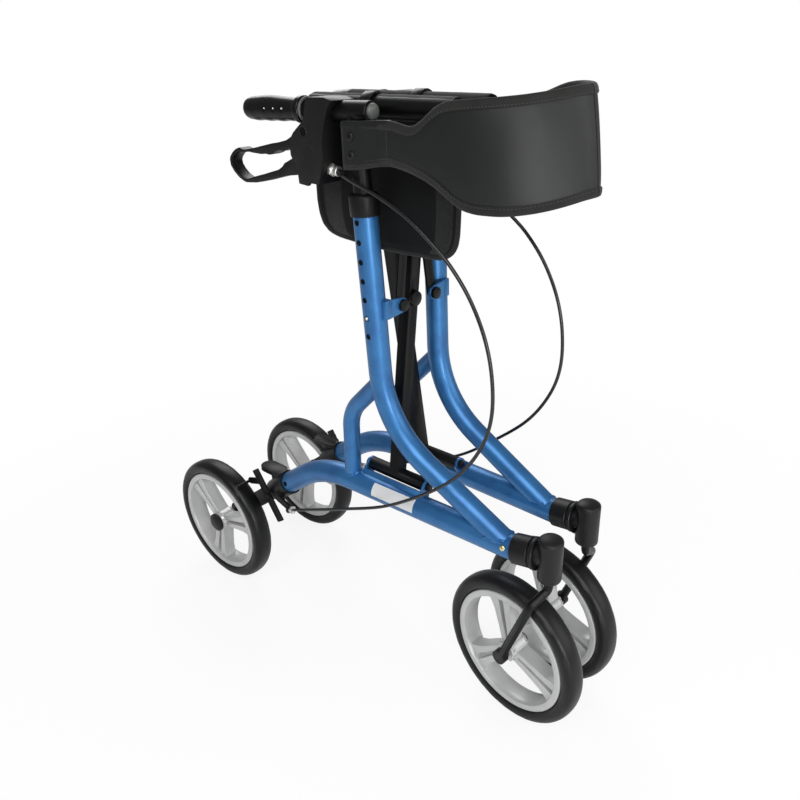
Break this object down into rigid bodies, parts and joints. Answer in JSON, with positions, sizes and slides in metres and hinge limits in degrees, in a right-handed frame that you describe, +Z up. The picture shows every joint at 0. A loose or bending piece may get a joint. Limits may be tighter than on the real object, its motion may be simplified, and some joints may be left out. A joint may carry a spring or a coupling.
{
  "type": "rollator",
  "caption": "Folding walking frame on wheels, stored folded, with swivelling front wheels, height-adjustable handles, loop brake levers, a fold-up seat and a strap backrest.",
  "frame": {"origin": "bottom centre of the folded rollator's box, on the floor", "axes": "+X forward towards the swivelling wheels, +Y to the user's left, +Z up"},
  "size_m": [0.7274, 0.224, 0.7645],
  "materials": {
    "frame_blue": "metallic gloss",
    "black_plastic": "satin",
    "black_metal": "satin",
    "tyre_rubber": "matte",
    "rim_silver": "silver satin",
    "steel": "polished",
    "fabric": "matte mesh"
  },
  "bodies": {
    "right_frame": {"main_tube_right": "frame_blue", "lower_tube_right": "frame_blue", "rear_strut_right": "frame_blue", "brace_channel_right": "frame_blue", "post_collar_right": "black_plastic", "brake_cable_right": "black_plastic", "rear_socket_right": "black_plastic", "rear_axle_right": "black_plastic", "front_head_right": "black_plastic"},
    "right_rear_wheel": {"rear_tyre_right": "tyre_rubber", "rear_rim_right": "rim_silver"},
    "right_caster": {"caster_fork_right": "black_metal"},
    "right_front_wheel": {"front_tyre_right": "tyre_rubber", "front_rim_right": "rim_silver"},
    "right_handle": {"inner_post_right": "black_metal", "handle_bar_right": "black_metal", "grip_right": "black_plastic", "lever_housing_right": "black_plastic", "backrest_bracket_right": "black_metal"},
    "right_brake_lever": {"brake_lever_right": "black_plastic"},
    "right_brake_arm": {"brake_arm_right": "black_metal"},
    "right_button": {"spring_button_right": "steel"},
    "right_link": {"fold_link_right": "black_metal"},
    "right_backrest": {"backrest_right": "fabric"},
    "right_rail": {"seat_rail_right": "black_metal", "bag_front_right": "fabric", "bag_rear_right": "fabric"},
    "right_seat_outer": {"seat_outer_right": "fabric"},
    "right_seat_inner": {"seat_inner_right": "fabric"},
    "left_frame": {"main_tube_left": "frame_blue", "lower_tube_left": "frame_blue", "rear_strut_left": "frame_blue", "brace_channel_left": "frame_blue", "post_collar_left": "black_plastic", "brake_cable_left": "black_plastic", "rear_socket_left": "black_plastic", "rear_axle_left": "black_plastic", "front_head_left": "black_plastic"},
    "left_rear_wheel": {"rear_tyre_left": "tyre_rubber", "rear_rim_left": "rim_silver"},
    "left_caster": {"caster_fork_left": "black_metal"},
    "left_front_wheel": {"front_tyre_left": "tyre_rubber", "front_rim_left": "rim_silver"},
    "left_handle": {"inner_post_left": "black_metal", "handle_bar_left": "black_metal", "grip_left": "black_plastic", "lever_housing_left": "black_plastic", "backrest_bracket_left": "black_metal"},
    "left_brake_lever": {"brake_lever_left": "black_plastic"},
    "left_brake_arm": {"brake_arm_left": "black_metal"},
    "left_button": {"spring_button_left": "steel"},
    "left_link": {"fold_link_left": "black_metal"},
    "left_backrest": {"backrest_left": "fabric"},
    "left_rail": {"seat_rail_left": "black_metal", "bag_front_left": "fabric", "bag_rear_left": "fabric"},
    "left_seat_outer": {"seat_outer_left": "fabric"},
    "left_seat_inner": {"seat_inner_left": "fabric"},
    "brace_front": {"brace_arm_front": "black_metal"},
    "brace_rear": {"brace_arm_rear": "black_metal"}
  },
  "joints": [
    {"name": "fold", "type": "hinge", "parent": "right_frame", "child": "brace_front", "pos_m": [0.06787, -0.034, 0.283], "axis": [-1, 0, 0], "range_deg": [0, 45]},
    {"name": "brace_cross", "type": "hinge", "parent": "brace_front", "child": "brace_rear", "pos_m": [0.06787, 0, 0.51816], "axis": [-1, 0, 0], "range_deg": [-90, 0]},
    {"name": "left_foot", "type": "hinge", "parent": "brace_rear", "child": "left_frame", "pos_m": [0.06787, 0.034, 0.283], "axis": [-1, 0, 0], "range_deg": [0, 45]},
    {"name": "left_rail_pivot", "type": "hinge", "parent": "brace_front", "child": "left_rail", "pos_m": [0.07067, 0.03195, 0.73916], "axis": [-1, 0, 0], "range_deg": [-45, 0]},
    {"name": "right_rail_pivot", "type": "hinge", "parent": "brace_rear", "child": "right_rail", "pos_m": [0.05417, -0.03195, 0.73916], "axis": [-1, 0, 0], "range_deg": [0, 45]},
    {"name": "right_seat_hinge", "type": "hinge", "parent": "right_rail", "child": "right_seat_outer", "pos_m": [0.05287, -0.0125, 0.73916], "axis": [-1, 0, 0], "range_deg": [-61.66, 0]},
    {"name": "right_seat_middle", "type": "hinge", "parent": "right_seat_outer", "child": "right_seat_inner", "pos_m": [0.05287, -0.0077, 0.6583], "axis": [-1, 0, 0], "range_deg": [0, 123.31]},
    {"name": "right_link_pivot", "type": "hinge", "parent": "right_frame", "child": "right_link", "pos_m": [0.08087, -0.03, 0.519], "axis": [-1, 0, 0], "range_deg": [0, 98.56]},
    {"name": "left_seat_hinge", "type": "hinge", "parent": "left_rail", "child": "left_seat_outer", "pos_m": [0.05287, 0.0125, 0.73916], "axis": [-1, 0, 0], "range_deg": [0, 61.66]},
    {"name": "left_seat_middle", "type": "hinge", "parent": "left_seat_outer", "child": "left_seat_inner", "pos_m": [0.05287, 0.0077, 0.6583], "axis": [-1, 0, 0], "range_deg": [-123.31, 0]},
    {"name": "left_link_pivot", "type": "hinge", "parent": "left_frame", "child": "left_link", "pos_m": [0.08087, 0.03, 0.519], "axis": [-1, 0, 0], "range_deg": [-98.56, 0]},
    {"name": "right_handle_height", "type": "slide", "parent": "right_frame", "child": "right_handle", "axis": [-0.0359, -0.0252, 0.999], "range_m": [-0.0224, 0.112]},
    {"name": "left_handle_height", "type": "slide", "parent": "left_frame", "child": "left_handle", "axis": [-0.0359, 0.0252, 0.999], "range_m": [-0.0224, 0.112]},
    {"name": "right_backrest_hinge", "type": "hinge", "parent": "right_handle", "child": "right_backrest", "pos_m": [0.08087, -0.0834, 0.7], "axis": [0, 0, 1], "range_deg": [0, 45]},
    {"name": "right_lever_pivot", "type": "hinge", "parent": "right_handle", "child": "right_brake_lever", "pos_m": [-0.00213, -0.06725, 0.715], "axis": [0, 1, 0], "range_deg": [-15, 10], "stiffness_Nm_per_rad": 4},
    {"name": "right_brake_pivot", "type": "hinge", "parent": "right_frame", "child": "right_brake_arm", "pos_m": [-0.15713, -0.0777, 0.179], "axis": [0, 1, 0], "range_deg": [-2.5, 3.75]},
    {"name": "right_button_press", "type": "slide", "parent": "right_frame", "child": "right_button", "axis": [0, 1, 0], "range_m": [0, 0.0014], "stiffness_N_per_m": 400},
    {"name": "right_rear_spin", "type": "hinge", "parent": "right_frame", "child": "right_rear_wheel", "pos_m": [-0.26213, -0.09, 0.1016], "axis": [0, 1, 0], "continuous": true},
    {"name": "left_backrest_hinge", "type": "hinge", "parent": "left_handle", "child": "left_backrest", "pos_m": [0.08087, 0.0834, 0.7], "axis": [0, 0, 1], "range_deg": [-45, 0]},
    {"name": "left_lever_pivot", "type": "hinge", "parent": "left_handle", "child": "left_brake_lever", "pos_m": [-0.00213, 0.06725, 0.715], "axis": [0, 1, 0], "range_deg": [-15, 10], "stiffness_Nm_per_rad": 4},
    {"name": "left_brake_pivot", "type": "hinge", "parent": "left_frame", "child": "left_brake_arm", "pos_m": [-0.15713, 0.0777, 0.179], "axis": [0, 1, 0], "range_deg": [-2.5, 3.75]},
    {"name": "left_button_press", "type": "slide", "parent": "left_frame", "child": "left_button", "axis": [0, -1, 0], "range_m": [0, 0.0014], "stiffness_N_per_m": 400},
    {"name": "left_rear_spin", "type": "hinge", "parent": "left_frame", "child": "left_rear_wheel", "pos_m": [-0.26213, 0.09, 0.1016], "axis": [0, 1, 0], "continuous": true},
    {"name": "right_swivel", "type": "hinge", "parent": "right_frame", "child": "right_caster", "pos_m": [0.31037, -0.0445, 0.25], "axis": [0, 0, 1], "range_deg": [-15, 195]},
    {"name": "right_front_spin", "type": "hinge", "parent": "right_caster", "child": "right_front_wheel", "pos_m": [0.26208, -0.03823, 0.1016], "axis": [0.1288, 0.9917, 0], "continuous": true},
    {"name": "left_swivel", "type": "hinge", "parent": "left_frame", "child": "left_caster", "pos_m": [0.31037, 0.0445, 0.25], "axis": [0, 0, 1], "range_deg": [-195, 15]},
    {"name": "left_front_spin", "type": "hinge", "parent": "left_caster", "child": "left_front_wheel", "pos_m": [0.26208, 0.05077, 0.1016], "axis": [0.1288, 0.9917, 0], "continuous": true}
  ],
  "couplings": [
    {"joint": "brace_cross", "follows": "fold", "ratio": -2},
    {"joint": "left_foot", "follows": "fold", "ratio": 1},
    {"joint": "left_rail_pivot", "follows": "fold", "ratio": -1},
    {"joint": "right_rail_pivot", "follows": "fold", "ratio": 1},
    {"joint": "right_seat_hinge", "follows": "fold", "ratio": -1.37},
    {"joint": "right_seat_middle", "follows": "fold", "ratio": 2.74},
    {"joint": "right_link_pivot", "follows": "fold", "ratio": 2.19},
    {"joint": "left_seat_hinge", "follows": "fold", "ratio": 1.37},
    {"joint": "left_seat_middle", "follows": "fold", "ratio": -2.74},
    {"joint": "left_link_pivot", "follows": "fold", "ratio": -2.19},
    {"joint": "left_handle_height", "follows": "right_handle_height", "ratio": 1},
    {"joint": "right_backrest_hinge", "follows": "fold", "ratio": 1},
    {"joint": "right_brake_pivot", "follows": "right_lever_pivot", "ratio": -0.25},
    {"joint": "left_backrest_hinge", "follows": "fold", "ratio": -1},
    {"joint": "left_brake_pivot", "follows": "left_lever_pivot", "ratio": -0.25}
  ]
}
